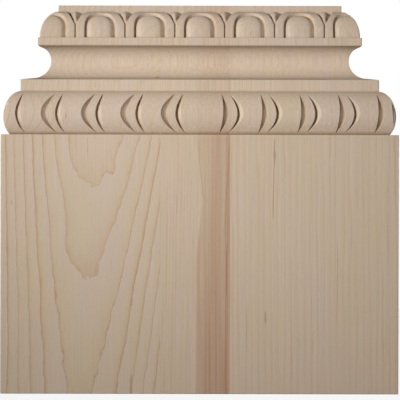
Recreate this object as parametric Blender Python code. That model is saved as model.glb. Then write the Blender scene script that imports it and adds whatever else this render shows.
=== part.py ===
"""Carved maple plinth for the foot of a pilaster.

Three boards, glued edge to edge, make one blank. The blank keeps a plain block below and is cut above to a
run of mouldings that turns the front corners and dies into the flat back: a torus with crescent cuts, a
listel, a cove, a nose, an ovolo with eggs in arched frames, and a cap that the pilaster stands on.
Metres, +Z up. The front looks to -Y, and the origin is under the middle of the block.
"""

import math
from collections import namedtuple

import bmesh
import bpy
from mathutils import Vector

# The block, and the boards that it is glued from, left to right. The right board takes what is left.
BLOCK_WIDTH = 0.250
BLOCK_DEPTH = 0.0625
BLOCK_HEIGHT = 0.1628
LEFT_BOARD_WIDTH = 0.1003
MIDDLE_BOARD_WIDTH = 0.0438
GLUE_GAP = 0.0003

# Heights of the mouldings, from the block up
TORUS_HEIGHT = 0.0274
LISTEL_HEIGHT = 0.0074
COVE_HEIGHT = 0.0214
NOSE_HEIGHT = 0.0052
OVOLO_HEIGHT = 0.0165
CAP_HEIGHT = 0.0039

# How far each moulding stands behind the block's face
TORUS_FOOT_SETBACK = 0.0056
TORUS_SETBACK = 0.0016
LISTEL_SETBACK = 0.0122
SHELF_SETBACK = 0.0196
COVE_SETBACK = 0.0311
NOSE_SETBACK = 0.0228
OVOLO_SETBACK = 0.0240
CAP_SETBACK = 0.0356

# Shapes of the profile
TORUS_BELLY_HEIGHT = 0.0112
THROAT_HEIGHT = 0.0119
SHELF_RISE = 0.0008
NOSE_EASE = 0.0007
TORUS_FULLNESS = 1.09
OVOLO_FULLNESS = 1.02
COVE_TURN = 1.7
COVE_STEPS = 7

# Crescent cuts on the torus. A cut is a curved stab at the edge of a narrow band, and a slope that rises
# from it to the pod beside it. Every cut bows away from the middle pod.
POD_HALF_WIDTH = 0.01645
POD_SHIFT = 0.0015
CRESCENT_PITCH = 0.0248
BAND_WIDTH = 0.0066
STAB_BOW = 0.0046
INNER_LIP_BOW = 0.0013
OUTER_LIP_BOW = 0.0081
STAB_DRAFT = 0.0003
CRESCENT_DEPTH = 0.0024
CRESCENT_FOOT_MARGIN = 0.0018
CRESCENT_HEAD_MARGIN = 0.0025
TORUS_ROWS = 12

# The small cut that straddles each front corner of the torus
CORNER_CUT_SHARE = 0.55
CORNER_CUT_DEPTH = 0.0014
CORNER_CUT_FRONT = 0.0012
CORNER_CUT_RETURN = 0.0034

# Eggs on the ovolo, each in an arched frame, with a dart between the frames. Heights on an egg are shares
# of the ovolo's sweep, and widths run inwards from the line between two frames.
EGG_PITCH = 0.0313
CORNER_EGG_HALF = 0.0224
SEAM_HALF_WIDTH = 0.00055
FRAME_WIDTH = 0.0050
EGG_GROOVE_WIDTH = 0.0027
EGG_GROOVE_DEPTH = 0.0021
EGG_SHOULDER_DROP = 0.0009
SEAM_DEPTH = 0.0012
POCKET_DEPTH = 0.0020
POCKET_FOOT = 0.0004
POCKET_END = 0.4
DART_DROP = 0.0004
EGG_SPRING = 0.27
EGG_CROWN = 0.66
FRAME_CROWN = 0.73
SEAM_TOP = 0.44
FRAME_SPRING = 0.40
FRAME_TOP = 0.985
ARCH_SQUARENESS = 2.3
STRAIGHT_STEPS = 3
ARCH_STEPS = 6

# The egg's dome: its lines from the middle out, as shares of its width, of its crown and of its drop
EGG_DOME = ((0.0, 0.72, 0.0), (0.45, 0.84, 0.12), (0.80, 0.95, 0.50), (1.0, 1.0, 1.0))

# Stock left on the blanks where the mouldings cut it away, and on the form where the blanks end
BLANK_SPARE = 0.003
FORM_SPARE = 0.004

# Points closer than this are one point.
SAME_PLACE = 1e-6

HALF_WIDTH = BLOCK_WIDTH / 2
FRONT = -BLOCK_DEPTH / 2
BACK = BLOCK_DEPTH / 2
FORM_BACK = BACK + EGG_PITCH + FORM_SPARE

TORUS_BASE = BLOCK_HEIGHT
LISTEL_BASE = TORUS_BASE + TORUS_HEIGHT
COVE_BASE = LISTEL_BASE + LISTEL_HEIGHT
NOSE_BASE = COVE_BASE + COVE_HEIGHT
OVOLO_BASE = NOSE_BASE + NOSE_HEIGHT
CAP_BASE = OVOLO_BASE + OVOLO_HEIGHT
TOP = CAP_BASE + CAP_HEIGHT

# A place on the profile: its distance behind the block's face, its height, and the way the surface looks
Station = namedtuple("Station", "setback z out up")
# A profile with carving on it: its points, row by row, for the left side, the front and the right side
SIDES = ("left", "front", "right")


def clear_scene():
    for item in list(bpy.data.objects):
        bpy.data.objects.remove(item)


def place(side, along, setback, z):
    """A point on one side of the plinth. Along is x on the front, and y on the sides."""
    if side == "front":
        return Vector((along, FRONT + setback, z))
    x = HALF_WIDTH - setback
    return Vector((x if side == "right" else -x, along, z))


def corner_along(side, way, setback):
    """Where a side ends at a front corner. Way says which end of the front is meant."""
    return way * (HALF_WIDTH - setback) if side == "front" else FRONT + setback


def cut_in(station, depth):
    """The setback and height of a surface that is cut square to the profile."""
    return station.setback + depth * station.out, station.z - depth * station.up


def ellipse_station(setback, z, reach, rise, angle):
    """A station on a bulging quarter ellipse whose front is at this setback and height."""
    across, upright = math.cos(angle) / reach, math.sin(angle) / rise
    length = math.hypot(across, upright)
    return Station(
        setback + reach * (1 - math.cos(angle)), z + rise * math.sin(angle), across / length, upright / length
    )


def torus_station(z):
    """The torus at a height. It is fuller above its belly than below it."""
    reach = TORUS_FULLNESS * (LISTEL_SETBACK - TORUS_SETBACK)
    belly = TORUS_BASE + TORUS_BELLY_HEIGHT
    if z < belly:
        foot_angle = math.acos(1 - (TORUS_FOOT_SETBACK - TORUS_SETBACK) / reach)
        rise = TORUS_BELLY_HEIGHT / math.sin(foot_angle)
    else:
        head_angle = math.acos(1 - 1 / TORUS_FULLNESS)
        rise = (TORUS_HEIGHT - TORUS_BELLY_HEIGHT) / math.sin(head_angle)
    angle = math.asin(max(-1.0, min(1.0, (z - belly) / rise)))
    return ellipse_station(TORUS_SETBACK, belly, reach, rise, angle)


def ovolo_station(sweep):
    """The ovolo, from its foot on the nose, sweep 0, to the cap, sweep 1."""
    reach = OVOLO_FULLNESS * (CAP_SETBACK - OVOLO_SETBACK)
    head_angle = math.acos(1 - 1 / OVOLO_FULLNESS)
    rise = OVOLO_HEIGHT / math.sin(head_angle)
    return ellipse_station(OVOLO_SETBACK, OVOLO_BASE, reach, rise, sweep * head_angle)


def cove_profile():
    """Setbacks and heights of the cove: a shelf, a quarter round to the throat, a tighter arc, a chamfer."""
    throat = COVE_BASE + THROAT_HEIGHT
    hollow = COVE_SETBACK - SHELF_SETBACK
    lower_rise = THROAT_HEIGHT - SHELF_RISE
    points = []
    for step in range(COVE_STEPS + 1):
        angle = math.pi / 2 * (1 - step / COVE_STEPS)
        points.append((COVE_SETBACK - hollow * (1 - math.cos(angle)), throat - lower_rise * math.sin(angle)))
    overhang = COVE_SETBACK - NOSE_SETBACK - NOSE_EASE
    rise = COVE_HEIGHT - THROAT_HEIGHT
    turn = COVE_TURN * math.atan2(overhang, rise)
    radius = (rise * math.sin(turn) - overhang * math.cos(turn)) / (1 - math.cos(turn))
    for step in range(1, COVE_STEPS + 1):
        angle = turn * step / COVE_STEPS
        points.append((COVE_SETBACK - radius * (1 - math.cos(angle)), throat + radius * math.sin(angle)))
    points.append((NOSE_SETBACK + NOSE_EASE, NOSE_BASE))
    return points


def plain_ring(setback, z):
    """The corners of one level without carving."""
    wide = HALF_WIDTH - setback
    corners = {"left": (FORM_BACK, FRONT + setback), "front": (-wide, wide), "right": (FRONT + setback, FORM_BACK)}
    return {side: [place(side, along, setback, z) for along in corners[side]] for side in SIDES}


def swell(z, share=1.0):
    """1 at a crescent's widest, falling to 0 at its two tips. A share shortens it about its middle."""
    low = TORUS_BASE + CRESCENT_FOOT_MARGIN
    high = LISTEL_BASE - CRESCENT_HEAD_MARGIN
    reach = (z - (low + high) / 2) / ((high - low) / 2 * share)
    return max(0.0, 1 - reach * reach)


def inner_cut(stab, way):
    """A cut on the outer side of a pod, as columns of place, bow and depth, going away from the middle."""
    tip = stab - way * STAB_BOW
    return [
        (tip, way * INNER_LIP_BOW, 0.0),
        (tip, way * (STAB_BOW - STAB_DRAFT), CRESCENT_DEPTH),
        (tip, way * STAB_BOW, 0.0),
    ]


def outer_cut(stab, way):
    """A cut on the outer side of a band."""
    tip = stab - way * STAB_BOW
    return [
        (tip, way * STAB_BOW, 0.0),
        (tip, way * (STAB_BOW + STAB_DRAFT), CRESCENT_DEPTH),
        (tip, way * OUTER_LIP_BOW, 0.0),
    ]


def front_cuts(way):
    """The cuts on half of the front. The pitch is eased so that the last band ends on the corner."""
    first = POD_HALF_WIDTH + way * POD_SHIFT
    run = HALF_WIDTH - TORUS_SETBACK - BAND_WIDTH - first
    count = max(1, round(run / CRESCENT_PITCH))
    cuts = []
    for module in range(count + 1):
        stab = first + module * run / count
        cuts += inner_cut(way * stab, way)
        if module < count:
            cuts += outer_cut(way * (stab + BAND_WIDTH), way)
    return cuts


def return_cuts():
    """The cuts on a side, from the front corner to past the back."""
    corner = FRONT + TORUS_SETBACK
    cuts = []
    band = corner + CRESCENT_PITCH
    while band < FORM_BACK - OUTER_LIP_BOW:
        cuts += inner_cut(band - BAND_WIDTH, 1) + outer_cut(band, 1)
        band += CRESCENT_PITCH
    return cuts


def corner_column(side, way, offset, depth, station):
    """A point of the cut that straddles a front corner. The offset runs along the side, from the corner."""
    open_share = swell(station.z, CORNER_CUT_SHARE)
    setback, z = cut_in(station, depth * open_share)
    start = corner_along(side, way, setback if offset == 0 else station.setback)
    inwards = -way if side == "front" else 1
    return place(side, start + inwards * offset * open_share, setback, z)


def torus_ring(z):
    """One level of the carved torus."""
    station = torus_station(z)
    open_share = swell(z)

    def column(side, cut):
        tip, bow, depth = cut
        setback, height = cut_in(station, depth * open_share)
        return place(side, tip + bow * open_share, setback, height)

    def front_corner(way):
        return [
            corner_column("front", way, CORNER_CUT_FRONT, 0.0, station),
            corner_column("front", way, CORNER_CUT_FRONT - STAB_DRAFT, CORNER_CUT_DEPTH, station),
            corner_column("front", way, 0.0, CORNER_CUT_DEPTH / 2, station),
        ]

    def return_side(side):
        start = [
            corner_column(side, 1, 0.0, CORNER_CUT_DEPTH / 2, station),
            corner_column(side, 1, CORNER_CUT_RETURN, 0.0, station),
        ]
        end = place(side, FORM_BACK, station.setback, station.z)
        return start + [column(side, cut) for cut in return_cuts()] + [end]

    left_half = [column("front", cut) for cut in front_cuts(-1)]
    right_half = [column("front", cut) for cut in front_cuts(1)]
    return {
        "left": return_side("left")[::-1],
        "front": front_corner(-1)[::-1] + left_half[::-1] + right_half + front_corner(1),
        "right": return_side("right"),
    }


def torus_rings():
    """The levels of the torus: its foot, the levels between the crescents' tips, and its head."""
    low = TORUS_BASE + CRESCENT_FOOT_MARGIN
    high = LISTEL_BASE - CRESCENT_HEAD_MARGIN
    heights = [TORUS_BASE]
    for row in range(TORUS_ROWS + 1):
        # Rows are closer together towards the tips, where the profile turns faster.
        share = (1 - math.cos(math.pi * row / TORUS_ROWS)) / 2
        heights.append(low + (high - low) * (share + row / TORUS_ROWS) / 2)
    heights.append(LISTEL_BASE)
    return [torus_ring(z) for z in heights]


def arch(half, spring, crown, depth):
    """Half an arch, from its foot to its crown, as points of width, sweep and depth."""
    points = [(half, spring * step / STRAIGHT_STEPS, depth) for step in range(STRAIGHT_STEPS)]
    power = 2 / ARCH_SQUARENESS
    for step in range(ARCH_STEPS + 1):
        angle = math.pi / 2 * step / ARCH_STEPS
        across = max(0.0, math.cos(angle)) ** power
        upright = math.sin(angle) ** power
        points.append((half * across if step < ARCH_STEPS else 0.0, spring + (crown - spring) * upright, depth))
    return points


def cell_edge():
    """The line between two frames, and on along the cap: a seam, then the ridge of a dart."""
    points = [(1.0, SEAM_TOP * step / STRAIGHT_STEPS, SEAM_DEPTH) for step in range(STRAIGHT_STEPS + 1)]
    to_cap = ARCH_STEPS // 2
    for step in range(1, to_cap + 1):
        depth = DART_DROP if step < to_cap else 0.0
        points.append((1.0, SEAM_TOP + (1 - SEAM_TOP) * step / to_cap, depth))
    points += [(1 - step / (ARCH_STEPS - to_cap), 1.0, 0.0) for step in range(1, ARCH_STEPS - to_cap + 1)]
    return points


def pocket_line(outer, edge, half_width):
    """The foot of a frame's outer wall. It is deepest where the dart leaves most room."""
    points = []
    for (frame_width, frame_sweep, _), (edge_width, edge_sweep, edge_depth) in zip(outer, edge):
        gap = math.hypot((edge_width - frame_width) * half_width, (edge_sweep - frame_sweep) * OVOLO_HEIGHT)
        share = min(1.0, POCKET_FOOT / max(gap, POCKET_FOOT))
        depth = max(min(POCKET_DEPTH, gap / 2), edge_depth * share)
        width = frame_width + (edge_width - frame_width) * share / 2
        sweep = frame_sweep + (edge_sweep - frame_sweep) * share / 2
        points.append((width, sweep, depth if edge_width > POCKET_END else 0.0))
    return points


def egg_lines(half_width):
    """The lines that an egg and its frame are built on, from the egg's middle out to the cell's edge.

    Each is half a line, as points of width from 0 to 1, sweep and depth."""
    frame_out = 1 - SEAM_HALF_WIDTH / half_width
    frame_in = frame_out - FRAME_WIDTH / half_width
    egg = frame_in - EGG_GROOVE_WIDTH / half_width
    floor = (egg + frame_in) / 2
    draft = STAB_DRAFT / half_width
    frame_foot = FRAME_CROWN - STAB_DRAFT / OVOLO_HEIGHT
    outer = arch(frame_out, FRAME_SPRING, FRAME_TOP, 0.0)
    edge = cell_edge()
    lines = [
        arch(egg * width, EGG_SPRING, EGG_CROWN * crown, EGG_SHOULDER_DROP * drop)
        for width, crown, drop in EGG_DOME
    ]
    return lines + [
        arch(floor, EGG_SPRING, (EGG_CROWN + FRAME_CROWN) / 2, EGG_GROOVE_DEPTH),
        arch(frame_in - draft, EGG_SPRING, frame_foot, EGG_GROOVE_DEPTH),
        arch(frame_in, EGG_SPRING, FRAME_CROWN, 0.0),
        outer,
        pocket_line(outer, edge, half_width),
        edge,
    ]


def both_halves(line):
    """A whole line across a cell, from one foot over the crown to the other, with signed widths."""
    mirrored = [(-width, sweep, depth) for width, sweep, depth in line]
    return mirrored + line[-2::-1]


def straight_cell(side, middle, half_width):
    """Points of one egg on a straight run, line by line."""

    def point(width, sweep, depth):
        setback, z = cut_in(ovolo_station(sweep), depth)
        return place(side, middle + width * half_width, setback, z)

    return [[point(*where) for where in both_halves(line)] for line in egg_lines(half_width)]


def corner_cell(way):
    """Points of the egg that turns a front corner. Its middle line lies on the corner."""
    front_edge = HALF_WIDTH - OVOLO_SETBACK - CORNER_EGG_HALF
    return_edge = FRONT + OVOLO_SETBACK + CORNER_EGG_HALF
    return_side = "right" if way > 0 else "left"

    def point(width, sweep, depth):
        station = ovolo_station(sweep)
        setback, z = cut_in(station, depth)
        if width == 0:
            return place("front", corner_along("front", way, setback), setback, z)
        if width < 0:
            corner = HALF_WIDTH - station.setback
            return place("front", way * (corner + width * (corner - front_edge)), setback, z)
        corner = FRONT + station.setback
        return place(return_side, corner + width * (return_edge - corner), setback, z)

    return [[point(*where) for where in both_halves(line)] for line in egg_lines(CORNER_EGG_HALF)]


def ovolo_cells():
    """Every egg on the ovolo, and the side or corner that it belongs to."""
    front_run = HALF_WIDTH - OVOLO_SETBACK - CORNER_EGG_HALF
    count = max(1, round(2 * front_run / EGG_PITCH))
    half_width = front_run / count
    cells = [straight_cell("front", (2 * egg + 1 - count) * half_width, half_width) for egg in range(count)]
    cells += [corner_cell(-1), corner_cell(1)]
    start = FRONT + OVOLO_SETBACK + CORNER_EGG_HALF
    while start < BACK:
        cells += [straight_cell(side, start + EGG_PITCH / 2, EGG_PITCH / 2) for side in ("left", "right")]
        start += EGG_PITCH
    return cells


def level_line(cells, level):
    """The cells' points at the ovolo's foot or at its head, in order along each side."""
    setback, z = (OVOLO_SETBACK, OVOLO_BASE) if level == "foot" else (CAP_SETBACK, CAP_BASE)
    points = {side: [] for side in SIDES}
    for lines in cells:
        ends = [end for line in lines for end in (line[0], line[-1])]
        if level == "head":
            ends = [end for end in lines[-1] if abs(end.z - z) < SAME_PLACE]
        for end in ends:
            # Positive on the front, negative on the return, and zero on the mitre between them
            past_mitre = (HALF_WIDTH - abs(end.x)) - (end.y - FRONT)
            if past_mitre > -SAME_PLACE:
                points["front"].append(end)
            if past_mitre < SAME_PLACE:
                points["right" if end.x > 0 else "left"].append(end)
    for side in ("left", "right"):
        points[side].append(place(side, FORM_BACK, setback, z))
    points["front"].sort(key=lambda point: point.x)
    points["left"].sort(key=lambda point: -point.y)
    points["right"].sort(key=lambda point: point.y)
    return points


class Skin:
    """Gathers faces by the points at their corners. Points in one place are joined at the end."""

    def __init__(self):
        self.mesh = bmesh.new()

    def face(self, points):
        corners = [p for p, last in zip(points, [points[-1], *points]) if (p - last).length > SAME_PLACE]
        if len(corners) > 2:
            self.mesh.faces.new([self.mesh.verts.new(p) for p in corners])

    def bridge(self, low, high):
        """Faces between two levels: one for each step where both have as many points, else one a side."""
        for side in SIDES:
            a, b = low[side], high[side]
            if len(a) != len(b):
                self.face(a + b[::-1])
                continue
            for i in range(len(a) - 1):
                self.face([a[i], a[i + 1], b[i + 1], b[i]])

    def patch(self, lines):
        """Faces between neighbouring lines of a cell."""
        for near, far in zip(lines, lines[1:]):
            for i in range(len(near) - 1):
                self.face([near[i], near[i + 1], far[i + 1], far[i]])

    def finish(self, name):
        bmesh.ops.remove_doubles(self.mesh, verts=self.mesh.verts, dist=2 * SAME_PLACE)
        bmesh.ops.recalc_face_normals(self.mesh, faces=self.mesh.faces)
        mesh = bpy.data.meshes.new(name)
        self.mesh.to_mesh(mesh)
        self.mesh.free()
        return mesh


def carved_form():
    """The whole shape as one closed guide. It runs on past the blank's bottom, top and back."""
    skin = Skin()
    torus = torus_rings()
    cells = ovolo_cells()
    foot, head = level_line(cells, "foot"), level_line(cells, "head")
    below = [plain_ring(0.0, -FORM_SPARE), plain_ring(0.0, BLOCK_HEIGHT)]
    middle = [plain_ring(LISTEL_SETBACK, COVE_BASE)]
    middle += [plain_ring(setback, z) for setback, z in cove_profile()]
    middle += [plain_ring(NOSE_SETBACK, NOSE_BASE + NOSE_EASE), plain_ring(NOSE_SETBACK, OVOLO_BASE)]
    above = plain_ring(CAP_SETBACK, TOP + FORM_SPARE)

    lower_run = below + torus + middle + [foot]
    for low, high in zip(lower_run, lower_run[1:]):
        skin.bridge(low, high)
    for lines in cells:
        skin.patch(lines)
    skin.bridge(head, above)

    bottom, top = lower_run[0], above
    skin.face(bottom["left"] + bottom["right"])
    skin.face(top["left"] + top["right"])
    levels = lower_run + [head, above]
    skin.face([level["left"][0] for level in levels] + [level["right"][-1] for level in levels][::-1])

    guide = bpy.data.objects.new("carved_form", skin.finish("carved_form"))
    guide.hide_render = True
    guide.display_type = "WIRE"
    bpy.context.scene.collection.objects.link(guide)
    return guide


def maple(name, colour):
    """Bare sanded maple: pale, matt and without varnish."""
    material = bpy.data.materials.new(name)
    material.use_nodes = True
    shader = material.node_tree.nodes["Principled BSDF"]
    shader.inputs["Base Color"].default_value = (*colour, 1.0)
    shader.inputs["Roughness"].default_value = 0.6
    shader.inputs["Metallic"].default_value = 0.0
    material.diffuse_color = (*colour, 1.0)
    return material


def board(name, left, right, form, material):
    """One board of the blank, cut to the carved form."""
    low = Vector((left, FRONT - BLANK_SPARE, 0.0))
    high = Vector((right, BACK, TOP))
    mesh = bpy.data.meshes.new(name)
    blank = bmesh.new()
    bmesh.ops.create_cube(blank, size=1.0)
    bmesh.ops.scale(blank, vec=high - low, verts=blank.verts)
    bmesh.ops.translate(blank, vec=(low + high) / 2, verts=blank.verts)
    blank.to_mesh(mesh)
    blank.free()
    mesh.materials.append(material)
    item = bpy.data.objects.new(name, mesh)
    bpy.context.scene.collection.objects.link(item)
    cut = item.modifiers.new("carving", "BOOLEAN")
    cut.operation = "INTERSECT"
    cut.solver = "EXACT"
    cut.object = form
    return item


def main():
    clear_scene()
    form = carved_form()
    left_joint = -HALF_WIDTH + LEFT_BOARD_WIDTH
    right_joint = left_joint + MIDDLE_BOARD_WIDTH
    outside = HALF_WIDTH + BLANK_SPARE
    board("left_board", -outside, left_joint - GLUE_GAP / 2, form, maple("left_maple", (0.52, 0.43, 0.33)))
    board(
        "middle_board",
        left_joint + GLUE_GAP / 2,
        right_joint - GLUE_GAP / 2,
        form,
        maple("middle_maple", (0.49, 0.38, 0.28)),
    )
    board("right_board", right_joint + GLUE_GAP / 2, outside, form, maple("right_maple", (0.50, 0.42, 0.32)))


main()
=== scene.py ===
"""Carved maple plinth for the foot of a pilaster: its fine surface and its looks.

The blank is three maple boards, glued edge to edge. Its plan is drawn up through the mouldings, the torus
and the ovolo are carved, and the blank is sawn into its boards, so that each has its own grain.
"""

import math
import random
from collections import namedtuple

import bmesh
import bpy
from bpy.props import FloatProperty, PointerProperty, StringProperty
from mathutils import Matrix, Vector


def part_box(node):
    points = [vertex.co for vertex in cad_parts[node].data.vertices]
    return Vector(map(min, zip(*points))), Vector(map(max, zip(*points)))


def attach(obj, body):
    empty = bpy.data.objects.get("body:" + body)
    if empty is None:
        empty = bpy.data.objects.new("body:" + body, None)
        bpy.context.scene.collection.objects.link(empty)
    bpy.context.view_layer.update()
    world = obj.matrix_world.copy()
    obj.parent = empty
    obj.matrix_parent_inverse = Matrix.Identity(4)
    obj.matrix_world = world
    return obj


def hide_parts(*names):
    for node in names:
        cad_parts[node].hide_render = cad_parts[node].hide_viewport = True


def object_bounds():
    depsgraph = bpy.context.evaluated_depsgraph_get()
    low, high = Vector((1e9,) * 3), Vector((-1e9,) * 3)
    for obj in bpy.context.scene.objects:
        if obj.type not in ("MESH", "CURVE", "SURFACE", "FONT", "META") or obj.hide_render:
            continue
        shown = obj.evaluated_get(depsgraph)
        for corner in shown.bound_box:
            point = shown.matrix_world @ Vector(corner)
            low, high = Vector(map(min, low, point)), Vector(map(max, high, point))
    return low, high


bl_info = {
    "name": "Carved maple plinth",
    "version": (1, 0, 0),
    "blender": (4, 5, 0),
    "location": "3D View > Sidebar > Plinth",
    "description": "Models a carved wooden plinth with egg and dart, a cove and a torus with crescent cuts",
    "category": "Add Mesh",
}

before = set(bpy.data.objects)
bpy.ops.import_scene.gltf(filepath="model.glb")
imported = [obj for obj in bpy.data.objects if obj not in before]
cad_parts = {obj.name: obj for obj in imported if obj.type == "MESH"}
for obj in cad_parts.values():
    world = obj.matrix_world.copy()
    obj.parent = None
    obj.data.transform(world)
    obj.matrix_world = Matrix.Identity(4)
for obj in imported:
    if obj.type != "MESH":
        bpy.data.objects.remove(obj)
CAD_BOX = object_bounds()

LOW, HIGH = Vector(CAD_BOX[0]), Vector(CAD_BOX[1])
FRONT, BACK = LOW.y, HIGH.y
HALF_WIDTH = (HIGH.x - LOW.x) / 2

SAME_PLACE = 1e-6
# How near to a cut the saw takes a point as on it: finer at the wall, so that the back stays in place
WALL_SNAP = 0.000002
JOINT_SNAP = 0.00001
# How near to the front corner the ledge below the ovolo keeps its small faces
LEDGE_CORNER = 0.0006

# How finely the plan is divided. The front holds six eggs' width, and each return one and a half.
EGG_COLUMNS = 80
FRONT_EGGS = 6
RETURN_PARTS = 2
RETURN_PART_COLUMNS = 60
ARRIS_COLUMNS = 3
FRONT_COLUMNS = FRONT_EGGS * EGG_COLUMNS
RETURN_COLUMNS = RETURN_PARTS * RETURN_PART_COLUMNS
COLUMNS = 2 * (RETURN_COLUMNS + ARRIS_COLUMNS) + FRONT_COLUMNS + 1
TORUS_ROWS = 56
COVE_STEPS = 14
EASE_STEPS = 3
# Where the flat beside an eased edge has its next level, against the easing
EASE_HOLD = 1.7
SMOOTH_ANGLE = 35

# An egg's half cell, from the line between two frames inwards to the egg's middle, counted in loops
POCKET_LOOPS = 9
FRAME_LOOPS = 8
WALL_LOOPS = 3
GROOVE_LOOPS = 6
EGG_LOOPS = 14
LOOPS = POCKET_LOOPS + FRAME_LOOPS + WALL_LOOPS + GROOVE_LOOPS + EGG_LOOPS
LEG_ROWS = 12
OVOLO_ROWS = LOOPS + LEG_ROWS
# How flat an egg's face and a frame's face are, up to their edges
EGG_FLATNESS = 3.2
FRAME_FLATNESS = 5
# A pocket's depth against its width, at most, and the turn over which the dart widens
POCKET_STEEPNESS = 0.7
DART_TURN = 0.25

# A crescent cut's columns
SLOPE_COLUMNS = 14
STAB_COLUMNS = 3
BAND_COLUMNS = 4
CORNER_LIP_COLUMNS = 3
CORNER_SLOPE_COLUMNS = 8
# How soon a cut's slope levels out from the pod's lip, where 1 is a flat slope
SCOOP = 1.35
# How soon a crescent cut is deep, from its tips
TIP_FULLNESS = 1.9

# A place on the profile: its distance behind the block's face, its height, and the way the surface looks
Station = namedtuple("Station", "setback z out up")
# A crescent cut: where its steep side is, whether that side faces a band or a pod, its bow and its depth
Cut = namedtuple("Cut", "stab before_band bow depth")
# A stretch along a row of the torus: where it ends, its columns, and its depth from start to end
Stretch = namedtuple("Stretch", "end columns start_depth end_depth curve")


def length(name, description, default):
    return FloatProperty(
        name=name, description=description, default=default, unit="LENGTH", subtype="DISTANCE"
    )


def share(name, description, default):
    return FloatProperty(name=name, description=description, default=default, min=0.0, subtype="FACTOR")


def hex_colour(name, description, code):
    return StringProperty(name=name, description=description, default=code)


class PlinthMouldings(bpy.types.PropertyGroup):
    """The mouldings, from the block up."""

    block_height: length("Block height", "Height of the plain block", 0.1628)
    torus_height: length("Torus height", "Height of the torus", 0.0274)
    listel_height: length("Listel height", "Height of the flat band above the torus", 0.0074)
    cove_height: length("Cove height", "Height of the cove", 0.0214)
    nose_height: length("Nose height", "Height of the flat band below the ovolo", 0.0052)
    ovolo_height: length("Ovolo height", "Height of the ovolo", 0.0165)
    torus_foot_setback: length("Torus foot", "How far the torus's foot stands behind the block", 0.0056)
    torus_setback: length("Torus belly", "How far the torus's belly stands behind the block", 0.0016)
    listel_setback: length("Listel setback", "How far the listel stands behind the block", 0.0122)
    shelf_setback: length("Shelf setback", "Where the shelf above the listel turns into the cove", 0.0196)
    cove_setback: length("Cove setback", "How far the cove's throat stands behind the block", 0.0311)
    nose_setback: length("Nose setback", "How far the nose stands behind the block", 0.0228)
    ovolo_setback: length("Ovolo setback", "How far the ovolo's foot stands behind the block", 0.0240)
    cap_setback: length("Cap setback", "How far the cap stands behind the block", 0.0356)
    belly_height: length("Belly height", "Height of the torus's belly above its foot", 0.0112)
    throat_height: length("Throat height", "Height of the cove's throat above its foot", 0.0119)
    shelf_rise: length("Shelf rise", "Rise of the shelf from the listel to the cove", 0.0008)
    nose_ease: length("Nose ease", "Easing of the nose's lower edge", 0.0007)
    torus_fullness: share("Torus fullness", "1 is a quarter ellipse, more stops short of one", 1.09)
    ovolo_fullness: share("Ovolo fullness", "1 is a quarter ellipse, more stops short of one", 1.02)
    cove_turn: share("Cove turn", "2 is a full arc to the nose, less ends in a chamfer", 1.7)
    arris: length("Arris", "Radius that sanding leaves on the front corners", 0.0005)
    edge_ease: length("Edge ease", "Radius that sanding leaves on the flat bands' edges", 0.00035)


class PlinthCrescents(bpy.types.PropertyGroup):
    """The crescent cuts on the torus."""

    pod_half_width: length("Middle pod", "Half width of the middle pod", 0.0169)
    pod_shift: length("Pod shift", "How far the middle pod stands to the right", 0.0015)
    pitch: length("Pitch", "Distance from one band to the next", 0.0248)
    band_width: length("Band width", "Width of the narrow band between two cuts", 0.0051)
    corner_band: length("Corner band", "Width of the last band, up to the front corner", 0.0073)
    stab_bow: length("Stab bow", "How far the steep side of a cut bows", 0.0056)
    inner_lip_bow: length("Inner lip", "How far the lip of a cut before a band bows", 0.0019)
    outer_lip_bow: length("Outer lip", "How far the lip of a cut after a band bows", 0.0096)
    hook: share("Hook", "How much further the lower tips bow than the upper ones", 0.12)
    draft: length("Draft", "How far the steep side leans", 0.0009)
    depth: length("Depth", "Depth of a cut at its widest", 0.0021)
    foot_margin: length("Foot margin", "Uncut height below the crescents", 0.0009)
    head_margin: length("Head margin", "Uncut height above the crescents", 0.0017)
    corner_share: share("Corner share", "Height of the corner cut, against a crescent's", 0.55)
    corner_depth: length("Corner depth", "Depth of the corner cut", 0.0014)
    corner_front: length("Corner lip", "Width of the corner cut on the front", 0.0012)
    corner_return: length("Corner slope", "Width of the corner cut on the return", 0.0034)
    wander: share("Wander", "How unlike each other the cuts are", 0.06)


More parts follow.
